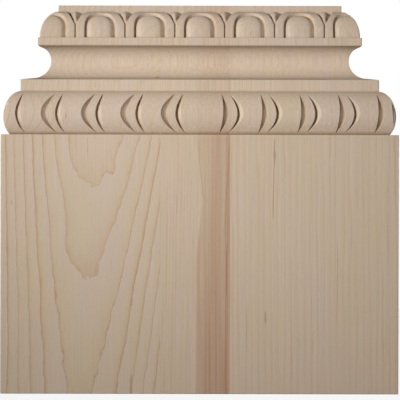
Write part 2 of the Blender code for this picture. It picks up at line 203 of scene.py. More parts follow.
class PlinthEggs(bpy.types.PropertyGroup):
    """The eggs and darts on the ovolo."""

    pitch: length("Pitch", "Distance from one egg to the next", 0.0313)
    corner_half: length("Corner egg", "Width of each half of an egg that turns the corner", 0.0224)
    seam_half_width: length("Seam half width", "Half width of the groove between two frames", 0.00055)
    frame_width: length("Frame width", "Width of the arched frame", 0.0050)
    groove_width: length("Groove width", "Width of the groove round the egg", 0.0036)
    groove_depth: length("Groove depth", "Depth of the groove round the egg", 0.0021)
    shoulder_drop: length("Shoulder drop", "How far the egg falls from its middle to its side", 0.0005)
    seam_depth: length("Seam depth", "Depth of the groove between two frames", 0.0012)
    pocket_depth: length("Pocket depth", "Depth beside the dart", 0.0024)
    pocket_foot: length("Pocket foot", "Lean of the pocket's wall", 0.0004)
    dart_drop: length("Dart drop", "How far the dart lies below the frames", 0.0004)
    draft: length("Draft", "How far the frame's steep side leans", 0.0011)
    crown_share: share("Crown share", "Depth of the groove over the egg's top, against its sides", 0.75)
    frame_round: length("Frame rounding", "How far the frame's edges are rounded over", 0.00016)
    egg_spring: share("Egg spring", "Where the egg's straight sides end", 0.22)
    egg_crown: share("Egg crown", "Where the egg's top is, in the ovolo's sweep", 0.66)
    frame_crown: share("Frame crown", "Where the frame's inner top is", 0.83)
    frame_spring: share("Frame spring", "Where the frame's straight sides end", 0.34)
    frame_top: share("Frame top", "Where the frame's outer top is", 0.985)
    shoulder: share("Shoulder", "Where the frame's shoulder reaches the cap, across its half width", 0.5)
    shoulder_bulge: share("Shoulder bulge", "How far the shoulder bulges from a straight line", 0.03)
    squareness: share("Squareness", "2 is a round arch, more is squarer", 2.05)
    wander: share("Wander", "How unlike each other the eggs are", 0.06)


class PlinthBoards(bpy.types.PropertyGroup):
    """The boards of the blank and their maple."""

    glue_line: length("Glue line", "Gap left at each joint for the eye to catch", 0.00003)
    warm: hex_colour("Warm maple", "The pale wood where it is yellower", "#BFAD90")
    cool: hex_colour("Cool maple", "The pale wood where it is pinker", "#C1AEA0")
    ring: hex_colour("Ring", "Darker wood that closes a year's growth", "#A98360")
    heartwood: hex_colour("Heartwood", "Reddish wood from the tree's middle", "#A68064")
    gum: hex_colour("Gum", "Fine brown streaks of gum", "#8C5F40")
    stain: hex_colour("Stain", "The amber stain on one of the frames", "#CFA568")
    # Painted shade: the darker tint mixed into the corners and the cuts, where shade falls
    painted_shade: hex_colour("Painted shade", "How the wood darkens in its corners and cuts", "#D6C9B8")


# Profile


def clear_selection():
    """Leave edit mode, with nothing selected."""
    if bpy.context.object and bpy.context.object.mode != "OBJECT":
        bpy.ops.object.mode_set(mode="OBJECT")
    bpy.ops.object.select_all(action="DESELECT")


def place(side, along, setback, z):
    """A point on one side of the plinth. Along is x on the front, and y on the returns."""
    if side == "front":
        return Vector((along, FRONT + setback, z))
    x = HALF_WIDTH - setback
    return Vector((x if side == "right" else -x, along, z))


def place_arris(way, turn, setback, z, radius):
    """A point on the eased front corner. Turn goes from 0 on the return to 1 on the front."""
    angle = math.pi / 2 * turn
    x = HALF_WIDTH - setback - radius + radius * math.cos(angle)
    y = FRONT + setback + radius - radius * math.sin(angle)
    return Vector((way * x, y, z))


def cut_in(station, depth):
    """The setback and height of a surface that is cut square to the profile."""
    return station.setback + depth * station.out, station.z - depth * station.up


def ellipse_station(setback, z, reach, rise, angle):
    """A station on a bulging quarter ellipse whose front is at this setback and height."""
    across, upright = math.cos(angle) / reach, math.sin(angle) / rise
    slope = math.hypot(across, upright)
    behind, above = reach * (1 - math.cos(angle)), rise * math.sin(angle)
    return Station(setback + behind, z + above, across / slope, upright / slope)


class Levels:
    """The heights between the mouldings, and the stations of the two carved ones."""

    def __init__(self, m, eggs):
        self.m = m
        # The run goes on past the wall to the end of an egg, and is sawn off at the wall afterwards.
        self.run_end = FRONT + m.ovolo_setback + eggs.corner_half + eggs.pitch
        self.torus = m.block_height
        self.listel = self.torus + m.torus_height
        self.cove = self.listel + m.listel_height
        self.nose = self.cove + m.cove_height
        self.ovolo = self.nose + m.nose_height
        self.cap = self.ovolo + m.ovolo_height

    def torus_station(self, z):
        """The torus at a height. It is fuller above its belly than below it."""
        m = self.m
        reach = m.torus_fullness * (m.listel_setback - m.torus_setback)
        belly = self.torus + m.belly_height
        if z < belly:
            undercut = m.torus_foot_setback - m.torus_setback
            rise = m.belly_height / math.sin(math.acos(1 - undercut / reach))
        else:
            rise = (m.torus_height - m.belly_height) / math.sin(math.acos(1 - 1 / m.torus_fullness))
        angle = math.asin(max(-1.0, min(1.0, (z - belly) / rise)))
        return ellipse_station(m.torus_setback, belly, reach, rise, angle)

    def ovolo_station(self, sweep):
        """The ovolo, from its foot on the nose, sweep 0, to the cap, sweep 1."""
        m = self.m
        reach = m.ovolo_fullness * (m.cap_setback - m.ovolo_setback)
        head_angle = math.acos(1 - 1 / m.ovolo_fullness)
        rise = m.ovolo_height / math.sin(head_angle)
        return ellipse_station(m.ovolo_setback, self.ovolo, reach, rise, sweep * head_angle)

    def cove_profile(self):
        """Setbacks and heights of the cove: a quarter round to the throat, a tighter arc, a chamfer."""
        m = self.m
        throat = self.cove + m.throat_height
        hollow = m.cove_setback - m.shelf_setback
        lower_rise = m.throat_height - m.shelf_rise
        overhang = m.cove_setback - m.nose_setback - m.nose_ease
        rise = m.cove_height - m.throat_height
        turn = m.cove_turn * math.atan2(overhang, rise)
        radius = (rise * math.sin(turn) - overhang * math.cos(turn)) / (1 - math.cos(turn))
        points = []
        for step in range(COVE_STEPS + 1):
            angle = math.pi / 2 * (1 - step / COVE_STEPS)
            forward, below = hollow * (1 - math.cos(angle)), lower_rise * math.sin(angle)
            points.append((m.cove_setback - forward, throat - below))
        for step in range(1, COVE_STEPS + 1):
            angle = turn * step / COVE_STEPS
            forward, above = radius * (1 - math.cos(angle)), radius * math.sin(angle)
            points.append((m.cove_setback - forward, throat + above))
        return points


def eased_edge(setback, z, ease, way=1, ledge=True):
    """Levels that round a flat band's edge. Way is 1 for its upper edge, and -1 for its lower edge.

    A level on each flat keeps the rounding from shading the rest of it."""
    held = ease * EASE_HOLD
    levels = [(setback, z - way * held)]
    for step in range(EASE_STEPS + 1):
        angle = math.pi / 2 * step / EASE_STEPS
        levels.append((setback + ease * (1 - math.cos(angle)), z - way * ease * (1 - math.sin(angle))))
    return levels + ([(setback + held, z)] if ledge else [])


# The blank, drawn up through its mouldings


def pick_edges(test):
    """Select only the edges whose two ends pass a test."""
    mesh = bmesh.from_edit_mesh(bpy.context.object.data)
    for edge in mesh.edges:
        edge.select_set(False)
    for edge in mesh.edges:
        if test(edge.verts[0].co, edge.verts[1].co):
            edge.select_set(True)
    mesh.select_flush_mode()
    bmesh.update_edit_mesh(bpy.context.object.data)


def divide(test, cuts):
    """Pick edges and divide them, with as many passes as there are numbers of cuts."""
    bpy.ops.mesh.select_mode(type="EDGE")
    for number in cuts:
        pick_edges(test)
        bpy.ops.mesh.subdivide(number_cuts=number)


def draw_plan(ease, arris, run_end):
    """The blank's plan: a rectangle with eased front corners, its sides divided into the columns."""
    bpy.ops.mesh.primitive_plane_add(size=1.0, enter_editmode=True)
    depth = run_end - FRONT - ease
    bpy.ops.transform.resize(value=(2 * (HALF_WIDTH - ease), depth, 1.0))
    bpy.ops.transform.translate(value=(0.0, run_end - depth / 2, 0.0))
    bpy.ops.mesh.select_mode(type="VERT")
    for corner in bmesh.from_edit_mesh(bpy.context.object.data).verts:
        corner.select_set(corner.co.y < 0)
    bpy.ops.mesh.bevel(offset=arris, segments=ARRIS_COLUMNS, affect="VERTICES", clamp_overlap=False)
    bpy.ops.mesh.select_all(action="SELECT")
    bpy.ops.mesh.delete(type="ONLY_FACE")
    divide(lambda a, b: abs(a.y - b.y) < SAME_PLACE and a.y < 0, (FRONT_EGGS - 1, EGG_COLUMNS - 1))
    passes = (RETURN_PARTS - 1, RETURN_PART_COLUMNS - 1)
    divide(lambda a, b: abs(a.x - b.x) < SAME_PLACE and abs(a.y - b.y) > arris, passes)
    bpy.ops.mesh.select_all(action="SELECT")
    bpy.ops.mesh.edge_face_add()
    number_columns(FRONT + ease)


def number_columns(front):
    """Number the plan's vertices from the left return's back, round the front, to the right's back."""
    mesh = bmesh.from_edit_mesh(bpy.context.object.data)
    layer = mesh.verts.layers.int.new("column")

    def along(vertex):
        return vertex.co.x + (vertex.co.y - front) * (1 if vertex.co.x > 0 else -1)

    for number, vertex in enumerate(sorted(mesh.verts, key=along)):
        vertex[layer] = number
    if len(mesh.verts) != COLUMNS:
        raise RuntimeError(f"the plan has {len(mesh.verts)} columns, not {COLUMNS}")
    bmesh.update_edit_mesh(bpy.context.object.data)


def draw_up(profile, start, run_end):
    """Draw the selected top up through setbacks and heights, and give the last of them."""
    last_setback, last_z = start
    bpy.ops.mesh.select_mode(type="FACE")
    for setback, z in profile:
        bpy.ops.mesh.extrude_region_move(TRANSFORM_OT_translate={"value": (0.0, 0.0, z - last_z)})
        narrower = (HALF_WIDTH - setback) / (HALF_WIDTH - last_setback)
        shallower = (run_end - FRONT - setback) / (run_end - FRONT - last_setback)
        bpy.ops.transform.resize(value=(narrower, shallower, 1.0), center_override=(0.0, run_end, 0.0))
        last_setback, last_z = setback, z
    return last_setback, last_z


def divide_band(low, high, rows):
    """Divide the faces between two levels into rows."""

    def upright(a, b):
        return abs(min(a.z, b.z) - low) < SAME_PLACE and abs(max(a.z, b.z) - high) < SAME_PLACE

    divide(upright, (rows - 1,))


def rough_out(m, levels):
    """The blank with its plain mouldings. The torus and ovolo are straight slopes until they are carved."""
    ease, end = m.edge_ease, levels.run_end
    draw_plan(ease, m.arris, end)
    below = [(0.0, ease)] + eased_edge(0.0, levels.torus, ease) + [(m.torus_foot_setback, levels.torus)]
    at = draw_up(below + [(m.listel_setback, levels.listel)], (ease, 0.0), end)
    middle = eased_edge(m.listel_setback, levels.cove, ease) + levels.cove_profile()
    middle += eased_edge(m.nose_setback, levels.nose, m.nose_ease, -1, False)[::-1]
    middle += eased_edge(m.nose_setback, levels.ovolo, ease) + [(m.ovolo_setback, levels.ovolo)]
    at = draw_up(middle + [(m.cap_setback, levels.cap)], at, end)
    draw_up(eased_edge(m.cap_setback, HIGH.z, ease), at, end)
    divide_band(levels.torus, levels.listel, TORUS_ROWS)
    divide_band(levels.ovolo, levels.cap, OVOLO_ROWS)


# Carving the torus


def crescent_reach(levels, c, z):
    """A height's place along a crescent: -1 at its lower tip, 0 at its widest and 1 at its upper tip."""
    low = levels.torus + c.foot_margin
    high = levels.listel - c.head_margin
    return (z - (low + high) / 2) / ((high - low) / 2)


def swell(reach):
    """1 at a crescent's widest, falling to 0 at its two tips."""
    return max(0.0, 1 - reach * reach)


def make_cut(c, stab, before_band, chance):
    """A cut that is a little unlike the others, as each is cut by itself."""
    return Cut(
        stab + c.wander * c.band_width * chance.uniform(-0.4, 0.4),
        before_band,
        c.stab_bow * (1 + c.wander * chance.uniform(-0.5, 0.5)),
        c.depth * (1 + c.wander * chance.uniform(-1, 1)),
    )


def front_cuts(m, c, way, chance):
    """The cuts on half of the front, as distances from the middle. The last band ends on the corner."""
    first = c.pod_half_width + way * c.pod_shift
    run = HALF_WIDTH - m.torus_setback - c.corner_band - first
    count = max(1, round(run / c.pitch))
    cuts = []
    for module in range(count + 1):
        stab = first + module * run / count
        cuts.append(make_cut(c, stab, True, chance))
        if module < count:
            cuts.append(make_cut(c, stab + c.band_width, False, chance))
    return cuts


def return_cuts(m, c, levels, chance):
    """The cuts on a return, as places along it."""
    cuts = []
    band = FRONT + m.torus_setback + c.pitch
    while band < levels.run_end - c.outer_lip_bow:
        cuts.append(make_cut(c, band - c.band_width, True, chance))
        cuts.append(make_cut(c, band, False, chance))
        band += c.pitch
    return cuts


def cut_stretches(c, cut, reach):
    """The stretches that lead to a cut and across it, on a row at this place along the crescent."""
    open_share = swell(reach)
    bow = cut.bow * (1 - c.hook * max(-1.0, min(1.0, reach)))
    tip = cut.stab - bow
    edge = tip + bow * open_share
    depth = cut.depth * (1 - (1 - open_share) ** TIP_FULLNESS)
    if cut.before_band:
        return [
            Stretch(tip + c.inner_lip_bow * open_share, None, 0.0, 0.0, 1.0),
            Stretch(edge - c.draft * open_share, SLOPE_COLUMNS, 0.0, depth, SCOOP),
            Stretch(edge, STAB_COLUMNS, depth, 0.0, 1.0),
        ]
    return [
        Stretch(edge, BAND_COLUMNS, 0.0, 0.0, 1.0),
        Stretch(edge + c.draft * open_share, STAB_COLUMNS, 0.0, depth, 1.0),
        Stretch(tip + c.outer_lip_bow * open_share, SLOPE_COLUMNS, depth, 0.0, SCOOP),
    ]


def fill_pods(stretches, total):
    """Give the pods, whose columns are not set, the columns that the cuts and bands leave over."""
    pods = [number for number, stretch in enumerate(stretches) if stretch.columns is None]
    spare = total - sum(stretch.columns for stretch in stretches if stretch.columns)
    if spare < len(pods):
        raise RuntimeError("the cuts on the torus take more columns than there are")
    for order, number in enumerate(pods):
        columns = spare // len(pods) + (1 if order < spare % len(pods) else 0)
        stretches[number] = stretches[number]._replace(columns=columns)
    return stretches


def walk(side, way, start, stretches, station):
    """The carved points along a row, from its start."""
    points = []
    at = start
    for end, columns, start_depth, end_depth, curve in stretches:
        for step in range(1, columns + 1):
            t = step / columns
            from_lip = t if end_depth > start_depth else 1 - t
            depth = max(start_depth, end_depth) * (1 - (1 - from_lip) ** curve)
            points.append(place(side, way * (at + (end - at) * t), *cut_in(station, depth)))
        at = end
    return points


def torus_row(m, c, levels, z, cuts):
    """All the points of one row of the torus, from the left return's back to the right return's."""
    station = levels.torus_station(z)
    reach = crescent_reach(levels, c, z)
    corner_share = swell(reach / c.corner_share)
    corner_depth = c.corner_depth * corner_share
    setback, corner_z = cut_in(station, corner_depth)
    sides = {}
    for way, side in ((-1, "left"), (1, "right")):
        lip = HALF_WIDTH - station.setback - 2 * m.arris - c.corner_front * corner_share
        front = [part for cut in cuts["front", way] for part in cut_stretches(c, cut, reach)]
        front.append(Stretch(lip, BAND_COLUMNS, 0.0, 0.0, 1.0))
        front.append(Stretch(HALF_WIDTH - setback - m.arris, CORNER_LIP_COLUMNS, 0.0, corner_depth, 1.0))
        front = walk("front", way, 0.0, fill_pods(front, FRONT_COLUMNS // 2), station)

        lip = FRONT + station.setback + 2 * m.arris + c.corner_return * corner_share
        back = [Stretch(lip, CORNER_SLOPE_COLUMNS, corner_depth, 0.0, SCOOP)]
        back += [part for cut in cuts[side] for part in cut_stretches(c, cut, reach)]
        back.append(Stretch(levels.run_end, None, 0.0, 0.0, 1.0))
        back = walk(side, 1, FRONT + setback + m.arris, fill_pods(back, RETURN_COLUMNS), station)

        turns = [turn / ARRIS_COLUMNS for turn in range(ARRIS_COLUMNS)]
        arris = [place_arris(way, turn, setback, corner_z, m.arris) for turn in turns]
        sides[way] = back[::-1] + arris + front[::-1]
    return sides[-1] + [place("front", 0.0, station.setback, station.z)] + sides[1][::-1]


def carve_torus(m, c, levels):
    """The rows of the torus, from its foot to its head."""
    chance = random.Random(11)
    cuts = {("front", way): front_cuts(m, c, way, chance) for way in (-1, 1)}
    cuts["left"] = return_cuts(m, c, levels, chance)
    cuts["right"] = return_cuts(m, c, levels, chance)
    rows = []
    for row in range(TORUS_ROWS + 1):
        # Rows are closer together towards the foot and the head, where the profile turns faster.
        even = row / TORUS_ROWS
        rise = (even + (1 - math.cos(math.pi * even)) / 2) / 2
        rows.append(torus_row(m, c, levels, levels.torus + rise * m.torus_height, cuts))
    return rows


# Carving the ovolo


def on_arch(half, spring, crown, squareness, leg, turn):
    """A place on an arch as width and sweep: up its leg, 0 to 1, then round to the crown, 0 to 1."""
    if turn == 0:
        return half, spring * leg
    power = 2 / squareness
    angle = math.pi / 2 * turn
    across = max(0.0, math.cos(angle)) ** power if turn < 1 else 0.0
    return half * across, spring + (crown - spring) * math.sin(angle) ** power


def on_edge(spring, leg, turn):
    """A place on the cell's edge as width and sweep: up the line between two frames, then along the cap."""
    if turn == 0:
        return 1.0, spring * leg
    if turn <= 0.5:
        return 1.0, spring + (1 - spring) * turn * 2
    return 2 - 2 * turn, 1.0


def on_shoulder(frame_out, e, leg, turn):
    """A place on a frame's outer edge: up its straight leg, in along its shoulder, then along the cap."""
    if turn == 0:
        return frame_out, e.frame_spring * leg
    if turn <= 0.5:
        rise = 2 * turn
        bulge = e.shoulder_bulge * math.sin(math.pi * rise)
        across = frame_out + (e.shoulder - frame_out) * rise + bulge
        return across, e.frame_spring + (e.frame_top - e.frame_spring) * rise + bulge / 2
    return e.shoulder * (2 - 2 * turn), e.frame_top


def smooth(t):
    """Ease in and out between 0 and 1."""
    return t * t * (3 - 2 * t)


def between(start, end, t):
    """A place part of the way from one width and sweep to another."""
    return start[0] + (end[0] - start[0]) * t, start[1] + (end[1] - start[1]) * t


def pocket_point(e, rise, half, frame_out, t, leg, turn):
    """A point between the line between two frames, t = 0, and a frame's outer edge, t = 1."""
    edge = on_edge(e.frame_spring, leg, turn)
    outer = on_shoulder(frame_out, e, leg, turn)
    gap = math.hypot((edge[0] - outer[0]) * half, (edge[1] - outer[1]) * rise)
    foot = min(1.0, e.pocket_foot / max(gap, e.pocket_foot)) / 2
    dart = smooth(min(1.0, turn / DART_TURN))
    edge_depth = e.seam_depth + (e.dart_drop - e.seam_depth) * dart
    if turn > 2 * DART_TURN:
        edge_depth = 0.0
    elif turn > DART_TURN:
        edge_depth *= 1 - smooth((turn - DART_TURN) / DART_TURN)
    pocket_depth = max(min(e.pocket_depth, gap * POCKET_STEEPNESS), edge_depth * 2 * foot)
    if turn > 2 * DART_TURN:
        pocket_depth *= 1 - smooth(min(1.0, (turn - 2 * DART_TURN) / DART_TURN))
    last = 1 - 1 / POCKET_LOOPS
    if t > last:
        near = foot * (1 - (t - last) / (1 - last))
        depth = pocket_depth + (e.frame_round - pocket_depth) * (t - last) / (1 - last)
    else:
        away = 1 - t / last
        near = foot + (1 - foot) * away
        depth = pocket_depth + (edge_depth - pocket_depth) * smooth(away)
    return (*between(outer, edge, near), depth)


def half_cell(e, rise, half, chance):
    """Half an egg and its frame, column by column from the cell's edge to the egg's middle.

    Each point is a share of the half cell's width, a share of the ovolo's sweep, and a depth."""
    groove = e.groove_depth * (1 + e.wander * chance.uniform(-1, 1))
    shift = e.wander * e.groove_width * chance.uniform(-0.5, 0.5)
    frame_out = (half - e.seam_half_width) / half
    frame_in = frame_out - (e.frame_width + shift) / half
    wall_foot = frame_in - e.draft / half
    egg = frame_in - (e.groove_width - shift) / half
    foot_crown = e.frame_crown - e.draft / rise
    # Each zone's loops, its arch's half width and crown at its start and at its end, and its depth
    zones = (
        (WALL_LOOPS, frame_in, wall_foot, e.frame_crown, foot_crown,
         lambda t: e.frame_round + (groove - e.frame_round) * t),
        (GROOVE_LOOPS, wall_foot, egg, foot_crown, e.egg_crown,
         lambda t: groove - (groove - e.shoulder_drop) * t),
        (EGG_LOOPS, egg, 0.0, e.egg_crown, e.egg_spring,
         lambda t: e.shoulder_drop * (1 - t) ** EGG_FLATNESS),
    )

    def point(loop, leg, turn):
        if loop < POCKET_LOOPS:
            return pocket_point(e, rise, half, frame_out, loop / POCKET_LOOPS, leg, turn)
        loop -= POCKET_LOOPS
        if loop <= FRAME_LOOPS:
            t = loop / FRAME_LOOPS
            inner = on_arch(frame_in, e.egg_spring, e.frame_crown, e.squareness, leg, turn)
            depth = e.frame_round * abs(2 * t - 1) ** FRAME_FLATNESS
            return (*between(on_shoulder(frame_out, e, leg, turn), inner, t), depth)
        loop -= FRAME_LOOPS
        for loops, wide, narrow, high, low, depth_at in zones:
            if loop <= loops:
                t = loop / loops
                arch = wide + (narrow - wide) * t, e.egg_spring, high + (low - high) * t
                crown = 1 + (e.crown_share - 1) * turn
                return (*on_arch(*arch, e.squareness, leg, turn), depth_at(t) * crown)
            loop -= loops
        raise RuntimeError("an egg has fewer loops than its half cell")

    def grid_point(column, row):
        """Columns count inwards from the cell's edge, and rows down from the cap."""
        loop = min(column, row)
        if row >= LOOPS:
            return point(loop, (OVOLO_ROWS - row) / LEG_ROWS, 0.0)
        if loop == LOOPS:
            return point(loop, 1.0, 1.0)
        if column <= row:
            return point(loop, 1.0, (LOOPS - row) / (LOOPS - loop) / 2)
        return point(loop, 1.0, (1 + (column - loop) / (LOOPS - loop)) / 2)

    return [[grid_point(column, row) for row in range(OVOLO_ROWS + 1)] for column in range(LOOPS + 1)]


def carve_ovolo(m, e, levels):
    """The rows of the ovolo, from its foot to its head."""
    chance = random.Random(23)
    front_edge = HALF_WIDTH - m.ovolo_setback - e.corner_half
    return_edge = FRONT + m.ovolo_setback + e.corner_half
    straight_half, return_half = front_edge / (FRONT_EGGS - 1), e.pitch / 2

    def cell(half):
        return half_cell(e, m.ovolo_height, half, chance)

    eggs = [cell(straight_half) for _ in range(FRONT_EGGS - 1)]
    corners = {way: cell(e.corner_half) for way in (-1, 1)}
    on_return = {way: cell(return_half) for way in (-1, 1)}

    def whole_egg(side, middle, half, egg, row):
        """A row's points across an egg, from the line on one side of it to the line on the other."""
        points = []
        for number in range(2 * LOOPS + 1):
            width, sweep, depth = egg[min(number, 2 * LOOPS - number)][row]
            along = middle + (-1 if number < LOOPS else 1) * width * half
            points.append(place(side, along, *cut_in(levels.ovolo_station(sweep), depth)))
        return points

    def half_egg(side, way, egg, row):
        """A row's points on one side of a corner egg, from the corner to the line beside it."""
        points = []
        for width, sweep, depth in (column[row] for column in reversed(egg)):
            station = levels.ovolo_station(sweep)
            setback, z = cut_in(station, depth)
            foot = station.setback if width else setback
            if side == "front":
                start = HALF_WIDTH - foot - m.arris
                points.append(place(side, way * (start - width * (start - front_edge)), setback, z))
            else:
                start = FRONT + foot + m.arris
                points.append(place(side, start + width * (return_edge - start), setback, z))
        return points

    def row_points(row):
        sides = {}
        for way, side in ((-1, "left"), (1, "right")):
            _, sweep, depth = corners[way][LOOPS][row]
            corner = cut_in(levels.ovolo_station(sweep), depth)
            turns = [turn / ARRIS_COLUMNS for turn in range(1, ARRIS_COLUMNS)]
            arris = [place_arris(way, turn, *corner, m.arris) for turn in turns]
            back = half_egg(side, way, corners[way], row)[:-1]
            back += whole_egg(side, return_edge + return_half, return_half, on_return[way], row)
            sides[way] = back[::-1] + arris + half_egg("front", way, corners[way], row)
        points = sides[-1][:-1]
        for number, egg in enumerate(eggs):
            middle = (2 * number + 2 - FRONT_EGGS) * straight_half
            points += whole_egg("front", middle, straight_half, egg, row)[:-1]
        return points + sides[1][::-1]

    return [row_points(OVOLO_ROWS - row) for row in range(OVOLO_ROWS + 1)]


def move_band(low, high, foot_setback, rows):
    """Move a band's vertices, which lie in straight rows between two heights, on to its carved rows."""
    mesh = bmesh.from_edit_mesh(bpy.context.object.data)
    columns = mesh.verts.layers.int["column"]
    for vertex in mesh.verts:
        setback = min(vertex.co.y - FRONT, HALF_WIDTH - abs(vertex.co.x))
        in_band = low - SAME_PLACE < vertex.co.z < high + SAME_PLACE
        if in_band and setback > foot_setback - SAME_PLACE:
            row = round((vertex.co.z - low) / (high - low) * (len(rows) - 1))
            vertex.co = rows[row][vertex[columns]]
    bmesh.update_edit_mesh(bpy.context.object.data)


def relay_ledge(height, setback):
    """Make one face of each flat run of the ledge.

    The grooves that end on the ledge would fold its narrow faces."""
    bpy.ops.mesh.select_mode(type="FACE")
    bpy.ops.mesh.select_all(action="DESELECT")
    mesh = bmesh.from_edit_mesh(bpy.context.object.data)
    for face in mesh.faces:
        middle = face.calc_center_median()
        behind = max(middle.y - FRONT, HALF_WIDTH - abs(middle.x)) - setback
        flat = all(abs(vertex.co.z - height) < SAME_PLACE for vertex in face.verts)
        face.select_set(flat and behind > LEDGE_CORNER)
    bmesh.update_edit_mesh(bpy.context.object.data)
    bpy.ops.mesh.delete(type="FACE")
    bpy.ops.mesh.select_mode(type="EDGE")
    bpy.ops.mesh.select_non_manifold(
        use_wire=False, use_multi_face=False, use_non_contiguous=False, use_verts=False
    )
    bpy.ops.mesh.fill_holes(sides=0)
    bpy.ops.mesh.select_mode(type="VERT")


def saw(place_of_cut, waste_side, snap):
    """Saw through the mesh that is being edited, and close the cut."""
    bpy.ops.mesh.select_all(action="SELECT")
    bpy.ops.mesh.bisect(
        plane_co=place_of_cut, plane_no=waste_side, use_fill=True, clear_outer=True, threshold=snap
    )


def carve_blank(settings):
    """The whole blank, carved and sawn off at the wall, as one object."""
    m, c, e = settings.mouldings, settings.crescents, settings.eggs
    levels = Levels(m, e)
    clear_selection()
    rough_out(m, levels)
    move_band(levels.torus, levels.listel, m.torus_foot_setback, carve_torus(m, c, levels))
    move_band(levels.ovolo, levels.cap, m.ovolo_setback, carve_ovolo(m, e, levels))
    relay_ledge(levels.ovolo, m.ovolo_setback)
    saw((0.0, BACK, 0.0), (0.0, 1.0, 0.0), WALL_SNAP)
    bpy.ops.object.mode_set(mode="OBJECT")
    bpy.context.object.name = "carved_blank"


def saw_board(blank, name, left, right):
    """A copy of the blank, sawn down to one board."""
    clear_selection()
    blank.select_set(True)
    bpy.context.view_layer.objects.active = blank
    bpy.ops.object.duplicate()
    board = bpy.context.object
    board.name = board.data.name = name
    bpy.ops.object.mode_set(mode="EDIT")
    for joint, way in ((left, -1.0), (right, 1.0)):
        if joint is not None:
            saw((joint, 0.0, 0.0), (way, 0.0, 0.0), JOINT_SNAP)
    bpy.ops.mesh.select_all(action="SELECT")
    bpy.ops.mesh.remove_doubles(threshold=SAME_PLACE)
    bpy.ops.mesh.normals_make_consistent(inside=False)
    bpy.ops.object.mode_set(mode="OBJECT")
    bpy.ops.object.shade_smooth_by_angle(angle=math.radians(SMOOTH_ANGLE))
    return board


# Maple. Its lengths are in millimetres, and its places on the front are x and z.

BLOCK_TOP = 162.8
# The heights between which the wood of the mouldings takes over from the block's, and the depths between
# which the flat back does
MOULDINGS_Z = (161.0, 166.0)
FLAT_BACK_Y = (24.0, 2.0)
# The depths at which a gum streak has run out into the wood, and up to which it is whole
STREAK_Y = (FRONT * 1000 + 14.0, FRONT * 1000 + 8.0)
# Patterns that run with the fibres: their size across the fibres and along them, the noise's detail, and
# what tells one pattern's noise from another's. How wide the fibres are is each board's own.
GRAINS = {
    "wave": (16.0, 42.0, 1.0, 0.0),
    "drift": (2.8, 150.0, 2.0, 3.0),
    "fray": (3.2, 9.0, 3.0, 7.0),
    "vessel": (0.45, 5.0, 1.0, 29.0),
    "cloud": (17.0, 55.0, 2.0, 41.0),
    "strips": (1.7, 130.0, 2.0, 53.0),
}
FIBRE = (60.0, 3.0, 13.0)

# A tree's middle, as seen from a board: its x at the foot of the block, its lean, how much more it leans
# above the block, its depth behind the front at the block's top, what a millimetre further down adds to the
# square of that depth and how that slows, and the slant below which a ring's line widens no more
Pith = namedtuple("Pith", "x lean bend depth sinking slowing grazing")
# A gum streak: its x at height 0 and its lean, its width, its ends, how soon it fades there and its strength
Streak = namedtuple("Streak", "x lean width low high fade strength")
# A board as it was cut from its tree. Wave, drift and fray are how far each moves the rings. Knobs, flecks
# and stains are each a place, its reach across and up, and its strength: for a knob, the rings' rise.
Board = namedtuple(
    "Board",
    "seed pith first_ring ring_width wave drift fray yellowing late late_curve line line_width "
    "fibre fibre_depth streaks knobs flecks stains heartwood",
    defaults=((), (), (), None),
)
FLAT_SAWN = Board(
    seed=3.0, pith=Pith(-75.1, 0.0657, 0.30, 56.5, 9.73, 0.017, 0.11),
    first_ring=60.0, ring_width=3.6, wave=1.2, drift=0.0, fray=1.0,
    yellowing=0.45, late=0.5, late_curve=6.0, line=0.78, line_width=0.62, fibre=0.8, fibre_depth=0.035,
    streaks=(
        Streak(-77.7, 0.0, 0.5, 153.0, 164.0, 3.0, 0.25),
        Streak(-70.4, 0.0, 0.5, 148.0, 164.0, 5.0, 0.25),
        Streak(-42.7, 0.0, 1.0, -6.0, 14.0, 4.0, 0.35),
        Streak(-44.0, -0.2, 0.4, 190.6, 197.0, 1.0, 0.55),
    ),
    knobs=(
        ((-58.8, 137.5), (5.5, 11.0), 0.40), ((-81.5, 148.0), (12.0, 22.0), -1.1),
        ((-76.0, 137.0), (9.0, 12.0), -0.4), ((-51.5, 135.5), (9.0, 14.0), -0.9),
        ((-83.9, 90.0), (13.0, 26.0), -0.9), ((-63.5, 75.5), (7.0, 9.0), -0.35),
        ((-54.4, 99.0), (6.0, 10.0), 0.5), ((-112.0, 10.0), (34.0, 120.0), 0.6),
    ),
    flecks=(
        ((-26.8, 199.0), (2.8, 0.9), 0.55), ((-66.0, 194.0), (0.6, 4.0), 0.35),
        ((-118.0, 120.0), (0.7, 2.5), 0.45), ((-84.0, 174.5), (0.8, 3.0), 0.45),
        ((-61.3, 240.0), (2.6, 0.9), 0.25),
    ),
)
HEART = Board(
    seed=17.0, pith=Pith(-260.0, 0.01, 0.0, 40.0, 0.0, 0.0, 0.05),
    first_ring=0.0, ring_width=2.15, wave=1.6, drift=5.0, fray=0.5,
    yellowing=0.3, late=0.20, late_curve=3.0, line=0.30, line_width=0.6, fibre=0.8, fibre_depth=0.05,
    streaks=(
        Streak(15.1, -0.103, 0.5, 118.0, 163.0, 8.0, 0.3),
        Streak(10.4, 0.053, 0.7, 95.0, 163.0, 12.0, 0.28),
        Streak(17.0, 0.0, 0.6, 55.0, 98.0, 12.0, 0.40),
    ),
    # The x at which the heartwood starts, and the waist where it starts further to the right
    heartwood=(-2.6, ((3.0, 128.0), (60.0, 48.0), -4.2)),
)
